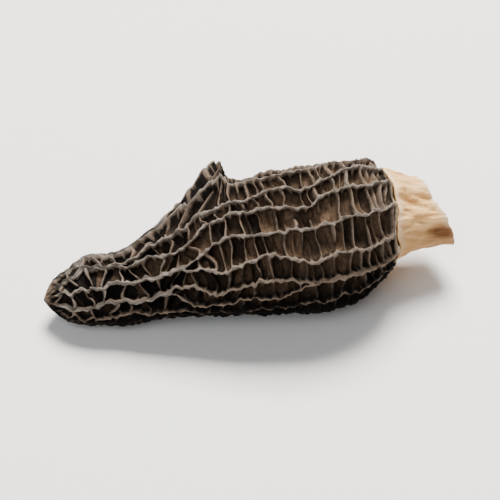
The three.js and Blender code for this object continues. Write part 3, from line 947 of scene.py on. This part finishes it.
def makeStemFlesh():
    # cream flesh with tan and pale streaks along it, paler at the collar and the cut, with
    # painted shade in tan in the crease and in brown on the low side, a dark brown spot in the
    # dent, and an orange brown lining with dark brown grain
    material, tree, shader = newMaterial("driedStemFlesh")
    out, bore, dent, low = readAttributes(tree, "out", "bore", "dent", "low")
    streaks, blotches, grain = addNoises(tree, stemFlesh, "streaks", "blotches", "grain")
    flesh = addRamp(tree, addSum(tree, streaks, blotches, stemFlesh["fleshShares"]), stemFlesh["flesh"])
    skin = addMix(tree, addRamp(tree, out, stemFlesh["rims"]), flesh, stemFlesh["rimColour"])
    # painted shade: tan in the crease where the stem goes into the cap
    skin = addMix(tree, addRamp(tree, out, stemFlesh["creaseShade"]), skin, tan)
    # painted shade: browner towards the low side
    lowShadeShare = addMath(tree, "MULTIPLY", low, stemFlesh["lowShadeShare"])
    skin = addMix(tree, lowShadeShare, skin, stemFlesh["lowShadeColour"])
    spotted = addMath(tree, "MULTIPLY", dent, addMath(tree, "ADD", grain, stemFlesh["spotGrain"]))
    skin = addMix(tree, addRamp(tree, spotted, stemFlesh["spot"]), skin, darkBrown)
    lining = addRamp(tree, grain, stemFlesh["liningGrain"])
    lining = addMix(tree, lining, stemFlesh["liningColour"], darkBrown)
    skin = addMix(tree, addRamp(tree, bore, stemFlesh["inBore"]), skin, lining)
    finishFlesh(tree, shader, stemFlesh, skin, addSum(tree, streaks, grain, stemFlesh["liftShares"]))
    return material


capSkin.data.materials.append(makeCapFlesh())
stemSkin.data.materials.append(makeStemFlesh())
print("flesh on cap and stem")

studio = {
    "floorSide": 4.0,  # in metres, as are the lights' places and sizes
    "floorColour": (0.80, 0.79, 0.77),
    "floorRoughness": 0.8,
    "worldColour": (0.93, 0.95, 1.0),
    "worldStrength": 0.16,
    # lights: name, place, side, power in watts, colour
    "lights": [("keyLight", (0.10, 0.26, 0.55), 0.3, 15.0, (1.0, 0.97, 0.93)),
               ("fillLight", (-0.35, -0.45, 0.55), 0.6, 4.0, (0.95, 0.97, 1.0))],
    "azimuthDegrees": -13.0,
    "elevationDegrees": 41.0,
    "lens": 135.0,
    "nearest": 0.01,  # where its view begins
    "distance": 0.272,  # from the aim
    "aim": (0.0, 0.0, 0.0095),
}


def makeStage():
    # a wide plain floor
    side = studio["floorSide"] / 2
    mesh = bpy.data.meshes.new("floor")
    corners = [(-side, -side, 0), (side, -side, 0), (side, side, 0), (-side, side, 0)]
    mesh.from_pydata(corners, [], [(0, 1, 2, 3)])
    material, tree, shader = newMaterial("paleFloor")
    colour = rgba(studio["floorColour"])
    feed(tree, shader, {"Base Color": colour, "Roughness": studio["floorRoughness"]})
    mesh.materials.append(material)
    floor = addObject("floor", mesh)


def makeLights():
    # square lights aimed at the mushroom, and a pale world
    for name, place, side, power, colour in studio["lights"]:
        light = bpy.data.lights.new(name, "AREA")
        light.shape, light.size, light.energy, light.color = "SQUARE", side, power, colour
        lamp = addObject(name, light)
        lamp.location = place
        towards = Vector(studio["aim"]) - Vector(place)
        lamp.rotation_euler = towards.to_track_quat("-Z", "Y").to_euler()
    world = bpy.data.worlds.new("paleWorld")
    world.use_nodes = True
    feed(world.node_tree, world.node_tree.nodes["Background"],
         {"Color": rgba(studio["worldColour"]), "Strength": studio["worldStrength"]})
    bpy.context.scene.world = world


def makeCamera():
    # the camera looks at the aim from a distance, an azimuth and an elevation
    azimuth, elevation = (math.radians(studio[key]) for key in ("azimuthDegrees", "elevationDegrees"))
    back = Vector((math.sin(azimuth) * math.cos(elevation), -math.cos(azimuth) * math.cos(elevation),
                   math.sin(elevation)))
    camera = addObject("camera", bpy.data.cameras.new("camera"))
    camera.data.lens = studio["lens"]
    camera.data.clip_start = studio["nearest"]
    camera.location = Vector(studio["aim"]) + back * studio["distance"]
    camera.rotation_euler = (-back).to_track_quat("-Z", "Y").to_euler()
    bpy.context.scene.camera = camera


makeStage()
makeLights()
makeCamera()
print("stage, lights and camera placed")
